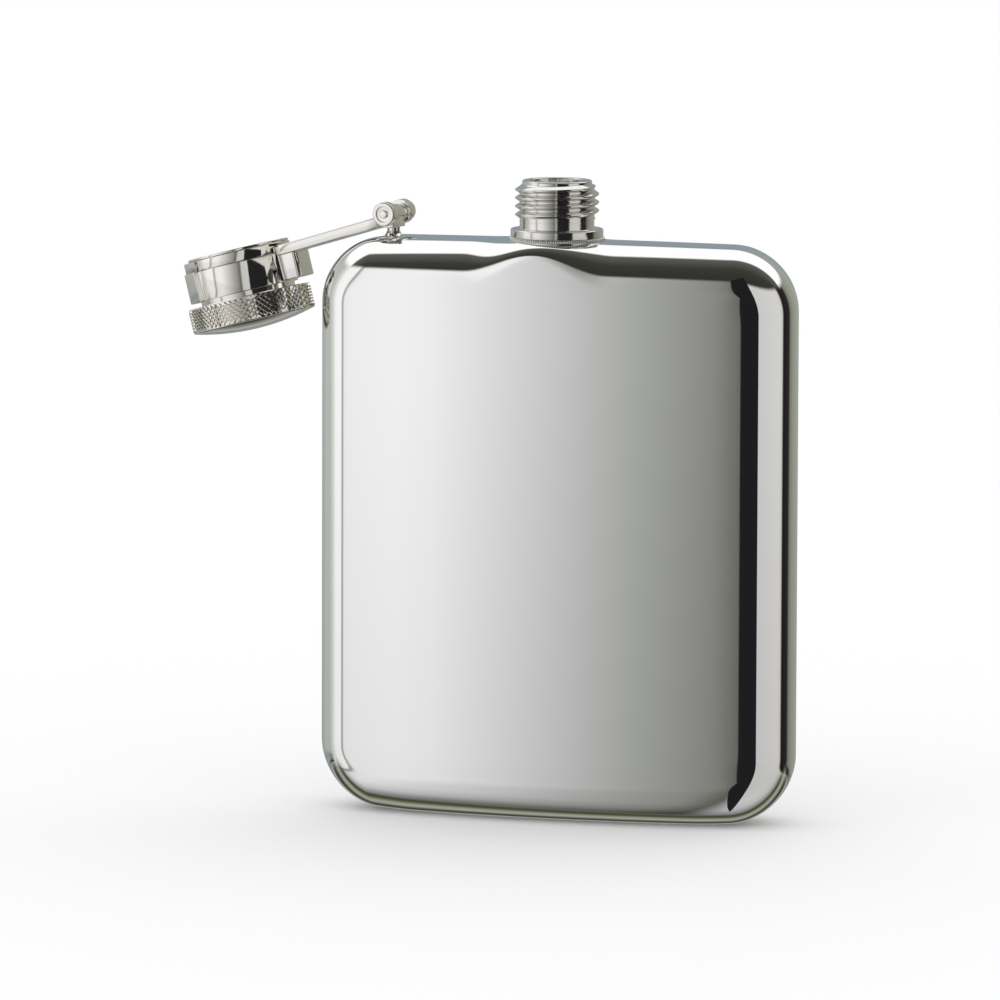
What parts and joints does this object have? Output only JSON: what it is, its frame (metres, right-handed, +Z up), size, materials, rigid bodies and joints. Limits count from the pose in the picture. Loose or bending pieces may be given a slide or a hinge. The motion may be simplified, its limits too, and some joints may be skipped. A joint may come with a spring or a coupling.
{
  "type": "captive-top hip flask",
  "caption": "Curved pocket flask in polished steel with a threaded neck and a knurled screw cap held in a hinged arm.",
  "frame": {"origin": "centre of the base, under the neck axis", "axes": "+Z up along the neck, -Y out of the outward-curved front face, +X to the right seen from the front, away from the hinge"},
  "size_m": [0.1253, 0.0323, 0.1233],
  "materials": {
    "body_steel": "mirror-polished stainless steel",
    "neck_steel": "turned stainless steel, bright with fine turning marks",
    "weld_steel": "polished weld bead, slightly rippled",
    "arm_steel": "polished nickel-plated steel",
    "cap_steel": "knurled and polished nickel-plated steel",
    "seal_liner": "pale food-safe plastic"
  },
  "bodies": {
    "flask": {"front_shell": "body_steel", "back_shell": "body_steel", "neck": "neck_steel", "neck_weld": "weld_steel", "hinge_post": "arm_steel"},
    "arm": {"arm_plate": "arm_steel", "collar": "arm_steel", "hinge_pin": "arm_steel", "hinge_nut": "arm_steel"},
    "retainer": {"retaining_ring": "arm_steel"},
    "cap": {"cap_head": "cap_steel", "cap_sleeve": "cap_steel", "cap_seal": "seal_liner"}
  },
  "joints": [
    {"name": "arm_hinge", "type": "hinge", "parent": "flask", "child": "arm", "pos_m": [-0.03436, 0.00483, 0.1156], "axis": [0.1392, 0.9903, 0], "range_deg": [0, 195]},
    {"name": "cap_lift", "type": "slide", "parent": "arm", "child": "retainer", "axis": [-0.2563, 0.036, 0.9659], "range_m": [0, 0.0009]},
    {"name": "cap_turn", "type": "hinge", "parent": "retainer", "child": "cap", "pos_m": [-0.06755, 0.00949, 0.10662], "axis": [-0.2563, 0.036, 0.9659], "continuous": true}
  ]
}
